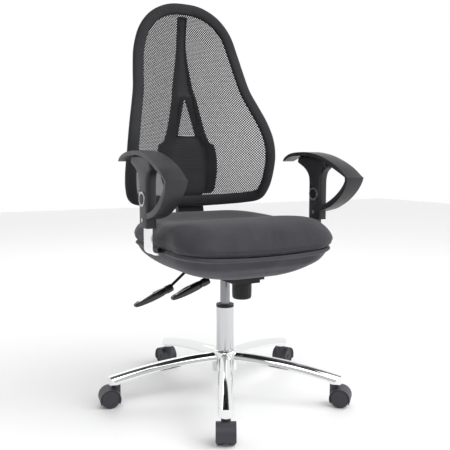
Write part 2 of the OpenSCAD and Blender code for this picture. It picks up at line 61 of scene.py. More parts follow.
def newMaterial(name, settings):    # an empty material with a Principled shader
    m = bpy.data.materials.new(name)
    m.use_nodes = True
    t = m.node_tree
    t.nodes.clear()
    shader = addNode(t, "ShaderNodeBsdfPrincipled", settings)
    addNode(t, "ShaderNodeOutputMaterial", links={"Surface": shader.outputs[0]})
    m.diffuse_color = settings.get("Base Color", (0.5, 0.5, 0.5, 1))
    return m, t, shader


def setMaterial(obj, mat):
    obj.data.materials.clear()
    obj.data.materials.append(mat)


def waveScale(period):    # wave texture scale for bands this many millimetres apart, on coordinates in mm
    return 0.314 / period


# camera: about 50 mm lens, eye at two thirds of a metre, from the sitter's right front
cameraSet = {"distance": 1.759, "height": 0.673, "azimuth": -28.4, "down": 5.88, "lens": 49.6}
a = math.radians(cameraSet["azimuth"])
cam = bpy.data.objects.new("camera", bpy.data.cameras.new("camera"))
cam.data.lens = cameraSet["lens"]
cam.location = (math.sin(a) * cameraSet["distance"], -math.cos(a) * cameraSet["distance"],
                cameraSet["height"])
cam.rotation_euler = (math.radians(90 - cameraSet["down"]), 0, a)
bpy.context.scene.collection.objects.link(cam)
bpy.context.scene.camera = cam

# materials

def mmCoords(t):    # object coordinates in millimetres
    co = addNode(t, "ShaderNodeTexCoord")
    mm = addNode(t, "ShaderNodeMapping", {"Scale": (1000, 1000, 1000)}, {"Vector": co.outputs["Object"]})
    return mm.outputs[0]


def weaveMaterial(name, settings):
    # upholstery cloth: crossed threads, a little fuzz and slow shade changes, so that it looks dry and soft
    m, t, shader = newMaterial(name, {"Base Color": linear(settings["colour"]), "Roughness": settings["rough"],
                                      "Sheen Weight": settings["sheen"], "Sheen Roughness": 0.4,
                                      "Specular IOR Level": 0.2})
    mm = mmCoords(t)
    warp, weft, side = [addNode(t, "ShaderNodeTexWave", {"wave_type": "BANDS", "bands_direction": way,
                        "Scale": waveScale(settings["thread"]), "Distortion": 0.6, "Detail": 1.0,
                        "Detail Scale": 1.5}, {"Vector": mm}) for way in "XYZ"]
    cross = addNode(t, "ShaderNodeMath", {"operation": "MULTIPLY"},
                    {0: warp.outputs["Fac"], 1: weft.outputs["Fac"]})
    both = addNode(t, "ShaderNodeMath", {"operation": "ADD"}, {0: cross.outputs[0], 1: side.outputs["Fac"]})
    fuzz = addNode(t, "ShaderNodeTexNoise", {"Scale": 1.1, "Detail": 3.0, "Roughness": 0.6}, {"Vector": mm})
    slow = addNode(t, "ShaderNodeTexNoise", {"Scale": 0.018, "Detail": 2.0}, {"Vector": mm})
    height = addNode(t, "ShaderNodeMath", {"operation": "ADD"}, {0: both.outputs[0], 1: fuzz.outputs["Fac"]})
    bump = addNode(t, "ShaderNodeBump", {"Strength": settings["bump"], "Distance": 0.0004},
                   {"Height": height.outputs[0]})
    t.links.new(bump.outputs[0], shader.inputs["Normal"])
    mix = addNode(t, "ShaderNodeMix", {"data_type": "RGBA"}, {"Factor": fuzz.outputs["Fac"]})
    mix.inputs[6].default_value = linear(settings["dark"])
    mix.inputs[7].default_value = linear(settings["light"])
    blotch = addNode(t, "ShaderNodeMapRange",
                     {"From Min": 0.3, "From Max": 0.7, "To Min": 0.9, "To Max": 1.1},
                     {"Value": slow.outputs["Fac"]})
    tint = addNode(t, "ShaderNodeVectorMath", {"operation": "SCALE"},
                   {0: mix.outputs[2], "Scale": blotch.outputs[0]})
    t.links.new(tint.outputs[0], shader.inputs["Base Color"])
    return m


def plasticMaterial(name, settings):
    # moulded plastic: fine spark-eroded grain, broad wear in the roughness, so highlights break up softly
    m, t, shader = newMaterial(name, {"Base Color": linear(settings["colour"]), "Roughness": settings["rough"],
                                      "Coat Weight": settings.get("coat", 0.0), "Coat Roughness": 0.08,
                                      "Specular IOR Level": settings.get("shine", 0.35)})
    mm = mmCoords(t)
    fine = addNode(t, "ShaderNodeTexNoise", {"Scale": 1 / settings["grain"], "Detail": 3.0, "Roughness": 0.6},
                   {"Vector": mm})
    broad = addNode(t, "ShaderNodeTexNoise", {"Scale": 0.03, "Detail": 3.0}, {"Vector": mm})
    bump = addNode(t, "ShaderNodeBump", {"Strength": settings["bump"], "Distance": 0.0002},
                   {"Height": fine.outputs["Fac"]})
    t.links.new(bump.outputs[0], shader.inputs["Normal"])
    r = addNode(t, "ShaderNodeMapRange", {"From Min": 0.3, "From Max": 0.7, "To Min": settings["rough"] - 0.04,
                "To Max": settings["rough"] + 0.05}, {"Value": broad.outputs["Fac"]})
    t.links.new(r.outputs[0], shader.inputs["Roughness"])
    mix = addNode(t, "ShaderNodeMix", {"data_type": "RGBA"}, {"Factor": fine.outputs["Fac"]})
    mix.inputs[6].default_value = linear(settings["colour"])
    mix.inputs[7].default_value = linear(settings["light"])
    t.links.new(mix.outputs[2], shader.inputs["Base Color"])
    return m


def metalMaterial(name, settings):
    # metal: smooth colour with faint smears in the roughness; brushed ones get fine rings round the column
    m, t, shader = newMaterial(name, {"Base Color": linear(settings["colour"]), "Metallic": 1.0,
                                      "Roughness": settings["rough"]})
    mm = mmCoords(t)
    if settings.get("rings"):
        mm = addNode(t, "ShaderNodeMapping", {"Scale": (0.02, 0.02, 1.0)}, {"Vector": mm}).outputs[0]
    smear = addNode(t, "ShaderNodeTexNoise", {"Scale": settings["scale"], "Detail": 4.0, "Roughness": 0.6},
                    {"Vector": mm})
    r = addNode(t, "ShaderNodeMapRange", {"From Min": 0.3, "From Max": 0.7, "To Min": settings["rough"] * 0.75,
                "To Max": settings["rough"] * 1.3}, {"Value": smear.outputs["Fac"]})
    t.links.new(r.outputs[0], shader.inputs["Roughness"])
    bump = addNode(t, "ShaderNodeBump", {"Strength": settings["bump"], "Distance": 0.0001},
                   {"Height": smear.outputs["Fac"]})
    t.links.new(bump.outputs[0], shader.inputs["Normal"])
    return m


chrome = metalMaterial("polishedChrome", {"colour": "#eceded", "rough": 0.05, "scale": 0.05, "bump": 0.04})
# the gas tube gets a darker copy of the leg chrome: painted shade standing in for the darker reflections along
# the column
tubeChromeShaded = metalMaterial("polishedTubeChromeShaded", {"colour": "#cbccce", "rough": 0.06, "scale": 0.05,
                                                  "bump": 0.04})
satinSteel = metalMaterial("satinSteel", {"colour": "#8f9095", "rough": 0.32, "scale": 1.2,
                                          "bump": 0.12, "rings": True})
zincSteel = metalMaterial("zincPlatedSteel", {"colour": "#c3c4c8", "rough": 0.28, "scale": 0.8, "bump": 0.1})
barChrome = metalMaterial("polishedBarChrome", {"colour": "#f2f2f2", "rough": 0.12, "scale": 0.05,
                                                "bump": 0.04})
seatCloth = weaveMaterial("charcoalSeatCloth", {"colour": "#38373c", "dark": "#313035",
                                                "light": "#48474d", "rough": 0.92,
                          "sheen": 0.25, "thread": 1.4, "bump": 0.5})
shellCloth = weaveMaterial("charcoalShellCloth", {"colour": "#3f3e43", "dark": "#37363b",
                                                  "light": "#4c4b51", "rough": 0.9,
                           "sheen": 0.25, "thread": 1.4, "bump": 0.4})
netCloth = weaveMaterial("knittedNetYarn", {"colour": "#222225", "dark": "#1c1c1f", "light": "#2b2b2f",
                                            "rough": 0.75,
                         "sheen": 0.05, "thread": 0.9, "bump": 0.5})
frameCloth = weaveMaterial("knitOverFrame", {"colour": "#232326", "dark": "#19191b", "light": "#303034",
                                             "rough": 0.6,
                           "sheen": 0.05, "thread": 2.2, "bump": 0.6})
armPlastic = plasticMaterial("satinArmPlastic", {"colour": "#232326", "light": "#2b2b2f", "rough": 0.40,
                                                 "grain": 0.7, "bump": 0.25,
                              "shine": 0.42})
blackPlastic = plasticMaterial("satinBlackPlastic", {"colour": "#0c0c0d", "light": "#121213",
                                                     "rough": 0.45, "grain": 0.8, "bump": 0.3})
wheelPlastic = plasticMaterial("castorPlastic", {"colour": "#35353a", "light": "#3f3f45", "rough": 0.46,
                                                 "grain": 0.6, "bump": 0.3})
glossPlastic = plasticMaterial("glossHandlePlastic", {"colour": "#141415", "light": "#1a1a1b",
                                                      "rough": 0.16, "grain": 1.5,
                               "bump": 0.05, "coat": 0.5})
powderCoat = plasticMaterial("blackPowderCoat", {"colour": "#111112", "light": "#161618", "rough": 0.5,
                                                 "grain": 0.4, "bump": 0.5})

# raw plywood board: long grain in the colour, dull and dry
boardWood, t, shader = newMaterial("rawPlywood", {"Base Color": linear("#b48c5a"), "Roughness": 0.8})
mm = addNode(t, "ShaderNodeMapping", {"Scale": (1.0, 0.06, 1.0)}, {"Vector": mmCoords(t)}).outputs[0]
grainNoise = addNode(t, "ShaderNodeTexNoise", {"Scale": 0.35, "Detail": 5.0, "Distortion": 0.4},
                     {"Vector": mm})
mix = addNode(t, "ShaderNodeMix", {"data_type": "RGBA"}, {"Factor": grainNoise.outputs["Fac"]})
mix.inputs[6].default_value = linear("#9c7444")
mix.inputs[7].default_value = linear("#cdaa78")
t.links.new(mix.outputs[2], shader.inputs["Base Color"])
print("materials ready")

kindOf = [("base_hub", chrome), ("leg_", chrome), ("gas_tube", tubeChromeShaded), ("tube_collar", blackPlastic),
          ("gas_", satinSteel), ("castor_hood", wheelPlastic), ("castor_axle", zincSteel),
          ("wheel_", wheelPlastic), ("mech_housing", powderCoat), ("seat_pin", zincSteel),
          ("back_pin", zincSteel), ("lever_pins", zincSteel), ("tension_knob", blackPlastic),
          ("height_rod", powderCoat), ("tilt_rod", powderCoat), ("height_handle", glossPlastic),
          ("tilt_handle", glossPlastic), ("mounting_plate", powderCoat), ("cushion_board", boardWood),
          ("lower_shell", shellCloth), ("cushion", seatCloth), ("back_carrier", powderCoat),
          ("back_socket", blackPlastic), ("back_frame", frameCloth), ("back_spine", blackPlastic),
          ("back_net", netCloth), ("arm_bar", barChrome), ("arm_post", armPlastic),
          ("arm_rest", armPlastic), ("button_ring", zincSteel), ("arm_button", blackPlastic),
          ("arm_screw", zincSteel)]
for name, obj in nodes.items():
    setMaterial(obj, next(mat for start, mat in kindOf if name.startswith(start)))

# modelling helpers


def deselect():
    if bpy.context.object and bpy.context.object.mode != "OBJECT":
        bpy.ops.object.mode_set(mode="OBJECT")
    bpy.ops.object.select_all(action="DESELECT")


def only(obj):    # the one selected and active object
    deselect()
    obj.select_set(True)
    bpy.context.view_layer.objects.active = obj


def addModifier(obj, kind, settings):    # adds a modifier and applies it
    only(obj)
    mod = obj.modifiers.new(kind.lower(), kind)
    for key, val in settings.items():
        setattr(mod, key, val)
    bpy.ops.object.modifier_apply(modifier=mod.name)


def place(obj, name, body, slot, mat, *replaced):    # settles a finished piece in the assembly
    obj.name = name
    obj.data.name = name
    only(obj)
    bpy.ops.object.transform_apply(location=True, rotation=True, scale=True)
    setMaterial(obj, mat)
    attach(obj, body)
    if replaced:
        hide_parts(*replaced)
    print("piece", name, len(obj.data.polygons), "faces")


def smoothBy(obj, angle):
    only(obj)
    bpy.ops.object.shade_smooth_by_angle(angle=math.radians(angle))


def blendPoint(p0, p1, p2, p3, t):    # smooth line through given points
    return [b + t * ((c - a) / 2 + t * ((2 * a - 5 * b + 4 * c - d) / 2 + t * (3 * b - a - 3 * c + d) / 2))
            for a, b, c, d in zip(p0, p1, p2, p3)]


def openLine(pts, k):
    n = len(pts)
    out = [blendPoint(pts[max(i - 1, 0)], pts[i], pts[i + 1], pts[min(i + 2, n - 1)], j / k)
           for i in range(n - 1) for j in range(k)]
    return out + [list(pts[-1])]


def closedLine(pts, k):
    n = len(pts)
    return [blendPoint(pts[i - 1], pts[i], pts[(i + 1) % n], pts[(i + 2) % n], j / k)
            for i in range(n) for j in range(k)]


def lookUp(table, x):    # value at x between the rows of a two-column table
    if x <= table[0][0]:
        return table[0][1]
    for (x0, y0), (x1, y1) in zip(table, table[1:]):
        if x <= x1:
            return y0 + (y1 - y0) * (x - x0) / (x1 - x0) if x1 > x0 else y1
    return table[-1][1]


def skin(rings, around=True, loop=False, caps=True):    # a mesh over rows of points, in metres
    bm = bmesh.new()
    rows = [[bm.verts.new(p) for p in ring] for ring in rings]
    n = len(rows[0])
    pairs = list(zip(rows, rows[1:])) + ([(rows[-1], rows[0])] if loop else [])
    for r0, r1 in pairs:
        for j in range(n if around else n - 1):
            k = (j + 1) % n
            bm.faces.new((r0[j], r0[k], r1[k], r1[j]))
    if around and caps and not loop:
        bm.faces.new(rows[0][::-1])
        bm.faces.new(rows[-1])
    bmesh.ops.recalc_face_normals(bm, faces=bm.faces)
    me = bpy.data.meshes.new("skin")
    bm.to_mesh(me)
    bm.free()
    obj = bpy.data.objects.new("skin", me)
    bpy.context.scene.collection.objects.link(obj)
    return obj


def cadCopy(node):    # a loose copy of a CAD node's mesh, merged, to be worked on
    me = nodes[node].data.copy()
    obj = bpy.data.objects.new(node + "_copy", me)
    bpy.context.scene.collection.objects.link(obj)
    bm = bmesh.new()
    bm.from_mesh(me)
    bmesh.ops.remove_doubles(bm, verts=bm.verts, dist=0.00002)
    bmesh.ops.dissolve_limit(bm, angle_limit=math.radians(0.7), verts=bm.verts, edges=bm.edges, delimit=set())
    bm.to_mesh(me)
    bm.free()
    return obj


def roundEdges(obj, width, segments, test, sharp=30):    # rounds the sharp edges whose middle passes the test
    bm = bmesh.new()
    bm.from_mesh(obj.data)
    pick = [e for e in bm.edges if len(e.link_faces) == 2 and e.calc_face_angle(0) > math.radians(sharp)
            and test((e.verts[0].co + e.verts[1].co) / 2)]
    bmesh.ops.bevel(bm, geom=pick, offset=width, segments=segments, profile=0.5, affect="EDGES",
                    clamp_overlap=True)
    bm.to_mesh(obj.data)
    bm.free()


def ringPoints(w, d, frontR, backR, n):    # outline of a rounded plate, n points to a quarter turn
    pts = []
    for sx, sy, r, a0 in ((1, -1, frontR, -90), (1, 1, backR, 0), (-1, 1, backR, 90), (-1, -1, frontR, 180)):
        cx, cy = sx * (w / 2 - r), sy * (d / 2 - r)
        turns = [math.radians(a0 + 90 * i / n) for i in range(n + 1)]
        pts += [(cx + r * math.cos(turn), cy + r * math.sin(turn)) for turn in turns]
    return pts


def evenRing(pts, n):    # the same outline walked in n equal steps
    pts = pts + [pts[0]]
    steps = [0.0]
    for p, q in zip(pts, pts[1:]):
        steps.append(steps[-1] + math.dist(p, q))
    out, k = [], 0
    for i in range(n):
        s = steps[-1] * i / n
        while steps[k + 1] < s:
            k += 1
        f = (s - steps[k]) / max(steps[k + 1] - steps[k], 1e-9)
        out.append((pts[k][0] + f * (pts[k + 1][0] - pts[k][0]), pts[k][1] + f * (pts[k + 1][1] - pts[k][1])))
    return out


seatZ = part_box("cushion")[0].z
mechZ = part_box("mech_housing")[0].z
backZ = seatZ + 0.080

# cushion

cushionSet = {"voxel": 0.0055, "pressure": 4.0, "frames": 16, "cap": 0.010, "dish": 0.014, "rear": 0.015,
              "frontDrop": 0.010, "sag": 0.020, "pullIn": 0.005, "seam": 0.0018, "seamWidth": 0.0022,
              "lumps": 0.0016}
lo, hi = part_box("cushion")
midX, midY = (lo.x + hi.x) / 2, (lo.y + hi.y) / 2
halfW, halfD = (hi.x - lo.x) / 2, (hi.y - lo.y) / 2
# rows: height above the cushion's foot, inset from its widest outline, mm
cushionRows = [(-5, 30), (-5, 14), (-2, 6), (4, 2), (12, 0), (20, 2), (29, 8), (38, 19), (46, 36), (52, 62),
               (55, 100), (56, 150)]


def sagAt(p):    # how far the front lip hangs, most in its middle
    u, v = (p.x - midX) / halfW, (p.y - midY) / halfD
    return -cushionSet["sag"] * max(0.0, min(1.0, (-v - 0.15) / 0.85)) ** 1.4 * max(0.0, 1 - 0.85 * u * u)


def cushionShape(p):    # waterfall front, a hollow to sit in, and a raised rear edge
    u, v = (p.x - midX) / halfW, (p.y - midY) / halfD
    top = max(0.0, min(1.0, (p.z - seatZ - 0.016) / 0.02))
    ridge = math.exp(-((v + 0.42 + 0.10 * u * u) / 0.30) ** 2)
    hollow = math.exp(-((v - 0.12) / 0.36) ** 2 - (u / 0.80) ** 4)
    rear = max(0.0, (v - 0.35) / 0.65) ** 1.4 * (1 - 0.55 * abs(u) ** 2.5)
    front = max(0.0, (-v - 0.62) / 0.38) ** 2
    dz = (0.007 * ridge - cushionSet["dish"] * hollow + cushionSet["rear"] * rear
          - cushionSet["frontDrop"] * front)
    return dz * top + sagAt(p) * (1 - 0.55 * top)


rings = []
for dz, inset in openLine([list(r) for r in cushionRows], 3):
    w, d = 2 * halfW - inset / 500, 2 * halfD - inset / 500
    frontR, backR = max(0.02, 0.084 - inset / 2000), max(0.02, 0.130 - inset / 2000)
    ring = evenRing(ringPoints(w, d, frontR, backR, 12), 160)
    rings.append([(x + midX, y + midY, seatZ + dz / 1000) for x, y in ring])
cushion = skin(rings)
addModifier(cushion, "REMESH",
            {"mode": "VOXEL", "voxel_size": cushionSet["voxel"] * 1})
for v in cushion.data.vertices:
    u, w = (v.co.x - midX) / halfW, (v.co.y - midY) / halfD
    v.co.z += cushionShape(v.co)
    # sides pull in between the corners
    v.co.x -= cushionSet["pullIn"] * u * abs(u) ** 3 * max(0.0, 1 - w * w)
    v.co.y -= cushionSet["pullIn"] * w * abs(w) ** 3 * max(0.0, 1 - u * u)
start = [v.co.copy() for v in cushion.data.vertices]
only(cushion)
cloth = cushion.modifiers.new("puff", "CLOTH")
cs = cloth.settings
cs.quality = 4
cs.mass = 0.2
cs.use_pressure = True
cs.uniform_pressure_force = cushionSet["pressure"]
cs.tension_stiffness = cs.compression_stiffness = 12
cs.bending_stiffness = 0.8
cs.effector_weights.gravity = 0
cloth.collision_settings.use_self_collision = False
for f in range(1, cushionSet["frames"] + 1):
    bpy.context.scene.frame_set(f)
bpy.ops.object.modifier_apply(modifier=cloth.name)
bpy.context.scene.frame_set(1)
for v, s in zip(cushion.data.vertices, start):
    move = v.co - s
    if move.length > cushionSet["cap"]:
        v.co = s + move.normalized() * cushionSet["cap"]
addModifier(cushion, "SMOOTH", {"factor": 0.5, "iterations": 6})
addModifier(cushion, "SUBSURF", {"levels": 1, "render_levels": 1})
for v in cushion.data.vertices:    # side seam: a narrow pull-in all round, and soft uneven stuffing
    p = v.co
    u, w = (p.x - midX) / halfW, (p.y - midY) / halfD
    out = Vector((p.x - midX, p.y - midY, 0))
    edge = max(abs(u), abs(w)) > 0.55
    if edge and out.length > 0.05:
        d = (p.z - seatZ - 0.011 - sagAt(p)) / cushionSet["seamWidth"]
        v.co -= out.normalized() * cushionSet["seam"] * math.exp(-d * d)
    v.co.z += cushionSet["lumps"] * noise.noise(Vector((p.x * 9, p.y * 9, p.z * 9)))
smoothBy(cushion, 60)
place(cushion, "seat_cushion", "seat", "cushion_fabric", seatCloth, "cushion")

# lower shell: a smooth bowl under the cushion, with a rolled lip

shellSet = {"around": 160, "between": 5, "wall": 0.004}
rimZ = seatZ - 0.002
seatW, seatD, seatY = 2 * halfW, 2 * halfD, midY
# rows: height under the rim, narrower by, shorter by, centre forward, front and rear corner radius, mm
shellRows = [(-1, 44, 32, 0, 72, 116), (-4, 34, 22, 0, 78, 122), (-9, 30, 18, 0, 80, 124),
             (-13, 38, 28, 2, 80, 122), (-17, 42, 36, 2, 82, 122), (-30, 50, 60, 10, 88, 118),
             (-44, 72, 98, 26, 94, 114), (-60, 118, 160, 42, 92, 98), (-73, 184, 226, 58, 84, 84),
             (-82, 262, 290, 68, 66, 66), (-87, 340, 350, 72, 46, 46), (-88.5, 420, 410, 72, 18, 18)]
rows = openLine([list(r) for r in shellRows], shellSet["between"])
rings = []
for dz, dw, dd, ahead, fr, br in rows:
    w, d = seatW - dw / 1000, seatD - dd / 1000
    fr, br = min(fr / 1000, d / 2 - 0.001, w / 2 - 0.001), min(br / 1000, d / 2 - 0.001, w / 2 - 0.001)
    ring = evenRing(ringPoints(w, d, fr, br, 12), shellSet["around"])
    fade = max(0.0, 1 + dz / 60)
    rings.append([(x, y + seatY - ahead / 1000, rimZ + dz / 1000 + fade * sagAt(Vector((x, y + seatY, 0))))
                  for x, y in ring])
shell = skin(rings, caps=False)
bm = bmesh.new()
bm.from_mesh(shell.data)
bm.verts.ensure_lookup_table()
bottom = [e for e in bm.edges if e.is_boundary and e.verts[0].co.z < rimZ - 0.05]
bmesh.ops.contextual_create(bm, geom=bottom)
bmesh.ops.recalc_face_normals(bm, faces=bm.faces)
bm.to_mesh(shell.data)
bm.free()
addModifier(shell, "SOLIDIFY", {"thickness": shellSet["wall"], "offset": -1})


def cutBox(obj, low, high):    # takes a rounded box out of a piece
    deselect()
    mid = [(a + b) / 2 for a, b in zip(low, high)]
    bpy.ops.mesh.primitive_cube_add(size=1, location=mid)
    tool = bpy.context.object
    tool.scale = [b - a for a, b in zip(low, high)]
    bpy.ops.object.transform_apply(location=True, rotation=True, scale=True)
    addModifier(tool, "BEVEL", {"width": 0.004, "segments": 3})
    addModifier(obj, "BOOLEAN", {"operation": "DIFFERENCE", "object": tool, "solver": "MANIFOLD"})
    bpy.data.objects.remove(tool)


cutBox(shell, (-0.072, -0.148, mechZ - 0.05), (0.072, 0.252, rimZ - 0.008))
cutBox(shell, (-0.150, -0.064, mechZ - 0.05), (-0.050, 0.042, mechZ + 0.062))
barLo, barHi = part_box("arm_bar_left")
for s in (-1, 1):
    x0, x1 = sorted((s * 0.17, s * 0.26))
    cutBox(shell, (x0, barLo.y - 0.0015, barLo.z - 0.002), (x1, barHi.y + 0.0015, rimZ + 0.01))
smoothBy(shell, 40)
place(shell, "shell_cover", "seat", "shell_fabric", shellCloth, "lower_shell")

# backrest: frame, spine and net from the same lines as the frame's own

# right half of the frame's centre line: x, y, height above the backrest's foot, mm
halfFrame = [(0, 271, 612), (54, 269, 606), (104, 264, 580), (140, 256, 536), (160, 246, 478),
             (171, 225, 418), (181, 199, 358), (196, 171, 308), (212, 144, 258), (224, 126, 208),
             (230, 123, 158), (231, 135, 108), (226, 150, 64), (211, 167, 34), (170, 186, 25),
             (120, 201, 21), (56, 212, 18)]
fullFrame = halfFrame + [(0, 216, 17)] + [(-x, y, z) for x, y, z in halfFrame[:0:-1]]
spineLine = [(-14, 216), (20, 220), (114, 235), (208, 250), (329, 266), (370, 279), (440, 286),
             (501, 288), (575, 279), (627, 271)]
spineFine = openLine([list(p) for p in spineLine], 6)
frameSet = {"width": 0.034, "front": 0.009, "rear": 0.008, "around": 20, "between": 7}

path = [Vector((x / 1000, y / 1000, backZ + z / 1000))
        for x, y, z in closedLine(fullFrame, frameSet["between"])]
rings = []
for i, p in enumerate(path):
    along = (path[(i + 1) % len(path)] - path[i - 1]).normalized()
    across = along.cross(Vector((0, 1, 0))).normalized()
    depth = across.cross(along)
    ring = []
    for j in range(frameSet["around"]):
        turn = 2 * math.pi * j / frameSet["around"]
        c, s = math.cos(turn), math.sin(turn)
        c, s = math.copysign(abs(c) ** 0.75, c), math.copysign(abs(s) ** 0.75, s)
        thick = frameSet["front"] if s * depth.y < 0 else frameSet["rear"]
        ring.append(p + across * frameSet["width"] / 2 * c + depth * s * thick)
    rings.append(ring)
frameObj = skin(rings, loop=True)
smoothBy(frameObj, 60)
place(frameObj, "frame_hoop", "backrest", "back_plastic", frameCloth, "back_frame")

# spine: a plate that widens into the lumbar wings, crowned across, with ribs on its lower front
spineSet = {"thick": 0.010, "across": 40, "rowStep": 0.0016, "ribPitch": 0.0066, "ribDeep": 0.0011,
            "crown": 0.003, "gapHalf": 31, "gapFoot": 220, "gapTop": 343}
spineHalf = [(17, 592), (16, 540), (18, 480), (30, 400), (44, 330), (62, 250), (78, 205), (96, 190),
             (102, 160), (100, 110), (90, 66), (82, 46), (66, 38)]
spineEdge = sorted([(z, x) for x, z in openLine([list(p) for p in spineHalf], 8)])
z0, z1 = 38.5, 591.0
count = int((z1 - z0) / 1000 / spineSet["rowStep"])


def spineY(zmm):
    return lookUp(spineFine, zmm) / 1000


def triangleSpan(zmm):    # half width of the open triangle at this height
    foot, top = spineSet["gapFoot"], spineSet["gapTop"]
    return spineSet["gapHalf"] * (top - zmm) / (top - foot) if foot < zmm < top else 0.0


def spineGrid(xa, xb):    # one panel between two edge functions, as a closed slab
    rings = []
    for i in range(count + 1):
        z = z0 + (z1 - z0) * i / count
        a, b = xa(z), xb(z)
        if b - a < 1.0:
            continue
        rib = 0.5 + 0.5 * math.cos(2 * math.pi * z / 1000 / spineSet["ribPitch"])
        fade = max(0.0, min(1.0, (205 - z) / 12)) * max(0.0, min(1.0, (z - 44) / 10))
        front, back = [], []
        for j in range(spineSet["across"] + 1):
            u = j / spineSet["across"]
            x = a + (b - a) * u
            half = lookUp(spineEdge, z)
            e = min(1.0, min(x - a, b - x) / 3.0)
            round_ = (1 - math.sqrt(max(0.0, 1 - (1 - e) ** 2))) * 0.0025
            crown = spineSet["crown"] * (x / max(half, 1)) ** 2
            wide = max(0.0, min(1.0, (half - abs(x)) / 10))
            y = spineY(z) + crown + round_ - spineSet["ribDeep"] * rib * fade * wide
            front.append((x / 1000, y, backZ + z / 1000))
            back.append((x / 1000, spineY(z) + spineSet["thick"] - round_, backZ + z / 1000))
        rings.append(front + back[::-1])
    return rings


def rightEdge(zmm):
    return lookUp(spineEdge, zmm)


def leftEdge(zmm):
    return -lookUp(spineEdge, zmm)


# whole below and above the gap, two arms beside it; neighbours share their end rows
whole = spineGrid(leftEdge, rightEdge)
foot, top = backZ + spineSet["gapFoot"] / 1000, backZ + spineSet["gapTop"] / 1000
lower = [r for r in whole if r[0][2] <= foot + 0.0001]
upper = [r for r in whole if r[0][2] >= top + 0.0008]
leftArm = [r for r in spineGrid(triangleSpan, rightEdge) if foot - 0.0015 <= r[0][2] <= top + 0.0025]
rightArm = [r for r in spineGrid(leftEdge, lambda z: -triangleSpan(z))
            if foot - 0.0015 <= r[0][2] <= top + 0.0025]
parts = [skin(r) for r in (lower, upper, leftArm, rightArm)]
deselect()
for p in parts:
    p.select_set(True)
bpy.context.view_layer.objects.active = parts[0]
bpy.ops.object.join()
spine = parts[0]
smoothBy(spine, 40)
place(spine, "spine_plate", "backrest", "back_plastic", frameCloth, "back_spine")

# net: diamond mesh of knitted strands, stretched from the spine out to the frame
netSet = {"cellW": 0.0066, "cellH": 0.0080, "strand": 0.00122, "thick": 0.0006}
edgeX = sorted([(z, x) for x, y, z in openLine([list(p) for p in halfFrame[:16]], 6)])
edgeY = sorted([(z, y) for x, y, z in openLine([list(p) for p in halfFrame[:16]], 6)])


def netY(x, zmm):    # the net bows from the spine's front out to the frame's side members
    u = min(1.0, abs(x) / max(lookUp(edgeX, zmm) / 1000, 0.01))
    c = spineY(zmm) - 0.0032
    e = lookUp(edgeY, zmm) / 1000 - 0.004
    return c + (e - c) * u ** 1.8


def insideFrame(x, zmm):    # up to the middle of the frame's border
    ztop = 612 - 6
    zlow = 20 + 4
    return zlow < zmm < ztop and abs(x) * 1000 < lookUp(edgeX, zmm) - 1.5


def overSpine(x, zmm):    # where the net is bonded to the solid plate and does not show
    a = abs(x) * 1000
    gap = triangleSpan(zmm)
    return 44 < zmm < 586 and gap - 2 < a < 0.62 * lookUp(spineEdge, zmm) and (gap == 0 or a > gap + 14)


bm = bmesh.new()
corner = {}
hw, hh = netSet["cellW"] / 2, netSet["cellH"] / 2


def netVert(i, j):
    if (i, j) not in corner:
        x, z = i * hw, 14 + j * hh * 1000
        corner[(i, j)] = bm.verts.new((x, netY(x, z), backZ + z / 1000))
    return corner[(i, j)]


nx, nz = int(0.235 / hw) + 1, int(0.61 / hh) + 1
for i in range(-nx, nx + 1):
    for j in range(1, nz):
        z = 14 + j * hh * 1000
        if (i + j) % 2 == 0 and insideFrame(i * hw, z) and not overSpine(i * hw, z):
            bm.faces.new((netVert(i - 1, j), netVert(i, j - 1), netVert(i + 1, j), netVert(i, j + 1)))
bmesh.ops.recalc_face_normals(bm, faces=bm.faces)
holes = list(bm.faces)
bmesh.ops.inset_individual(bm, faces=holes, thickness=netSet["strand"], use_even_offset=True)
bmesh.ops.delete(bm, geom=holes, context="FACES_ONLY")
loose = [v for v in bm.verts if not v.link_faces]
bmesh.ops.delete(bm, geom=loose, context="VERTS")
me = bpy.data.meshes.new("net")
bm.to_mesh(me)
bm.free()
net = bpy.data.objects.new("net", me)
bpy.context.scene.collection.objects.link(net)
addModifier(net, "SOLIDIFY", {"thickness": netSet["thick"], "offset": 0, "use_rim": True})
smoothBy(net, 30)
place(net, "back_mesh", "backrest", "net_fabric", netCloth, "back_net")

# arms: band and post with rounded edges

armSet = {"bandEdge": 0.0030, "postEdge": 0.0065, "segments": 4}
for side, sx in (("left", 1), ("right", -1)):
    band = cadCopy("arm_rest_" + side)
    roundEdges(band, armSet["bandEdge"], armSet["segments"], lambda p: True, 28)
    smoothBy(band, 32)
    place(band, "rest_band_" + side, "arm_" + side, "arm_plastic", armPlastic, "arm_rest_" + side)
    post = cadCopy("arm_post_" + side)
    lo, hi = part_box("arm_post_" + side)
    midX = (lo.x + hi.x) / 2
    barLo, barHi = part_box("arm_bar_" + side)

    def outer(p, midX=midX, lo=lo, hi=hi, barLo=barLo, barHi=barHi):
        inBore = abs(p.x - midX) < 0.008 and barLo.y - 0.003 < p.y < barHi.y + 0.003
        inHole = p.x < lo.x + 0.008 and abs(p.y - (barLo.y + barHi.y) / 2) < 0.016 and p.z < hi.z - 0.05
        return not inBore and not inHole and p.z > lo.z + 0.001
    roundEdges(post, armSet["postEdge"], armSet["segments"], outer, 28)
    smoothBy(post, 32)
    place(post, "post_sleeve_" + side, "arm_" + side, "arm_plastic", armPlastic, "arm_post_" + side)

# tension knob: one turned shape with a softly rounded lower edge and shallow flutes

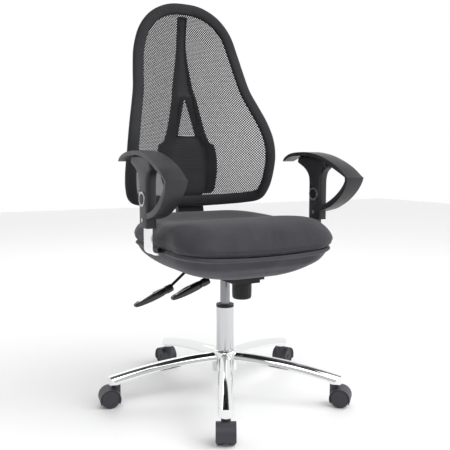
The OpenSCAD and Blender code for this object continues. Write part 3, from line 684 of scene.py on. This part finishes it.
knobLo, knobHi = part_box("tension_knob")
knobR = (knobHi.x - knobLo.x) / 2
knobMid = ((knobLo.x + knobHi.x) / 2, (knobLo.y + knobHi.y) / 2)
knobH = mechZ - 0.0003 - knobLo.z
profile = [(0.000, 0.0), (0.55, 0.0), (0.84, 0.035), (0.95, 0.10), (0.985, 0.22), (0.995, 0.5),
           (1.0, 0.80), (1.0, 0.93), (0.975, 0.985), (0.93, 1.0), (0.20, 1.0), (0.185, 1.02),
           (0.185, 1.5)]
rings = []
for r, h in openLine([list(p) for p in profile], 3):
    ring = []
    for j in range(120):
        a = 2 * math.pi * j / 120
        fade = max(0.0, min(1.0, h / 0.2)) * max(0.0, min(1.0, (0.86 - h) / 0.05))
        flute = 0.0006 * max(0.0, math.cos(a * 15)) ** 3 * fade
        rr = max(r, 0.002) * knobR - (flute if r > 0.6 else 0)
        ring.append((knobMid[0] + rr * math.cos(a), knobMid[1] + rr * math.sin(a), knobLo.z + h * knobH))
    rings.append(ring)
knob = skin(rings)
smoothBy(knob, 50)
place(knob, "turned_knob", "tension_knob", "knob_plastic", blackPlastic, "tension_knob")

# lever handles: a stepped collar, a deep paddle and a bright inlay on its upper face

handleSet = {"slope": 20, "around": 32, "inlay": (0.046, 0.014)}
brightTrim = metalMaterial("brightInlay", {"colour": "#e8e8ea", "rough": 0.10, "scale": 0.3, "bump": 0.05})
# rings along the paddle: distance from the collar's end, half width, upper and lower half height, squareness
paddle = [(0, 8.6, 8.6, 8.6, 0.9), (1.5, 10.4, 10.4, 10.4, 0.9), (18, 11.0, 11.0, 11.2, 0.85),
          (20, 10.0, 9.6, 9.8, 0.8), (27, 10.2, 9.2, 9.8, 0.7), (36, 12.4, 9.6, 10.2, 0.6),
          (54, 13.8, 9.2, 10.2, 0.55), (74, 14.0, 8.2, 9.6, 0.5), (96, 12.8, 6.4, 8.0, 0.5),
          (110, 10.8, 4.6, 6.4, 0.55), (116, 8.6, 3.2, 5.0, 0.6), (119, 4.0, 1.4, 2.4, 0.7)]
# body, and where its rod ends: x, y, height above the mechanism's foot
levers = {"height": ("height_lever", (-0.172, 0.018, -0.025)),
          "tilt": ("tilt_lever", (-0.088, -0.040, -0.003))}
for lever, (body, end) in levers.items():
    rings = []
    for d, wide, top, low, square in openLine([list(p) for p in paddle], 4):
        ring = []
        for j in range(handleSet["around"]):
            turn = 2 * math.pi * j / handleSet["around"]
            c, s = math.cos(turn), math.sin(turn)
            c, s = math.copysign(abs(c) ** square, c), math.copysign(abs(s) ** square, s)
            ring.append(((15 - d) / 1000, wide / 1000 * c, (top if s > 0 else low) / 1000 * s))
        rings.append(ring)
    handle = skin(rings)
    tilt = Matrix.Rotation(-math.radians(handleSet["slope"]), 4, "Y")
    spot = Matrix.Translation((end[0], end[1], mechZ + end[2])) @ tilt
    handle.data.transform(spot)
    smoothBy(handle, 45)
    place(handle, lever + "_paddle", body, "handle_plastic", glossPlastic, lever + "_handle")
    deselect()
    bpy.ops.mesh.primitive_cube_add(size=1, location=(0, 0, 0))
    inlay = bpy.context.object
    inlay.scale = (handleSet["inlay"][0], handleSet["inlay"][1], 0.0030)
    bpy.ops.object.transform_apply(location=True, rotation=True, scale=True)
    addModifier(inlay, "BEVEL", {"width": 0.0013, "segments": 3})
    lean = Matrix.Rotation(math.radians(-5), 4, "Y")
    inlay.data.transform(spot @ Matrix.Translation((-0.066, 0, 0.0078)) @ lean)
    smoothBy(inlay, 40)
    place(inlay, lever + "_inlay", body, "trim_chrome", brightTrim)

# floor, light

deselect()
bpy.ops.mesh.primitive_plane_add(size=14, location=(0, 0, -0.0005))
floor = bpy.context.object
floor.name = "floor"
floorMat, t, shader = newMaterial("paleStudioFloor", {"Base Color": linear("#f6f6f6"), "Roughness": 0.6})
cloud = addNode(t, "ShaderNodeTexNoise", {"Scale": 3.0, "Detail": 2.0})
ramp = addNode(t, "ShaderNodeMapRange", {"To Min": 0.55, "To Max": 0.65}, {"Value": cloud.outputs[0]})
t.links.new(ramp.outputs[0], shader.inputs["Roughness"])
setMaterial(floor, floorMat)

world = bpy.data.worlds.new("studio")
bpy.context.scene.world = world
world.use_nodes = True
wt = world.node_tree
wt.nodes.clear()
co = addNode(wt, "ShaderNodeTexCoord")
sep = addNode(wt, "ShaderNodeSeparateXYZ", links={0: co.outputs["Generated"]})
sky = addNode(wt, "ShaderNodeMapRange",
              {"From Min": 0.55, "From Max": 0.85, "To Min": 1.0, "To Max": 0.12, "clamp": True},
              {"Value": sep.outputs["Z"]})    # bright low down, dark overhead, so that chrome gets streaks
front = addNode(wt, "ShaderNodeVectorMath", {"operation": "DOT_PRODUCT", 1: (-0.47, -0.87, 0.15)},
                {0: co.outputs["Generated"]})
flag = addNode(wt, "ShaderNodeMapRange",
               {"From Min": 0.50, "From Max": 0.80, "To Min": 1.0, "To Max": 0.62, "clamp": True},
               {"Value": front.outputs["Value"]})    # a little less light from the front
glow = addNode(wt, "ShaderNodeMath", {"operation": "MULTIPLY"}, {0: sky.outputs[0], 1: flag.outputs[0]})
back = addNode(wt, "ShaderNodeBackground", {"Color": (1, 1, 1, 1)}, {"Strength": glow.outputs[0]})
addNode(wt, "ShaderNodeOutputWorld", links={"Surface": back.outputs[0]})
sun = bpy.data.lights.new("wideSun", "SUN")    # broad and even, so the floor stays white into the distance
sun.energy = 1.7
sun.angle = math.radians(60)
o = bpy.data.objects.new("wideSun", sun)
o.rotation_euler = Vector((-1.2, 1.3, -2.4)).to_track_quat("-Z", "Y").to_euler()
bpy.context.scene.collection.objects.link(o)
lamps = [("keyLamp", (-1.4, -1.8, 3.0), 1.4, 22), ("fillLamp", (2.6, -1.6, 2.4), 1.8, 26),
         ("backLamp", (0.3, 2.4, 2.8), 2.0, 14)]
for name, spot, size, power in lamps:
    lamp = bpy.data.lights.new(name, "AREA")
    lamp.size = size
    lamp.energy = power
    o = bpy.data.objects.new(name, lamp)
    o.location = spot
    o.rotation_euler = (Vector((0, 0, 0.5)) - Vector(spot)).to_track_quat("-Z", "Y").to_euler()
    bpy.context.scene.collection.objects.link(o)
bpy.context.scene.view_settings.view_transform = "Standard"    # white stays white, black stays deep
print("camera, floor and light ready")
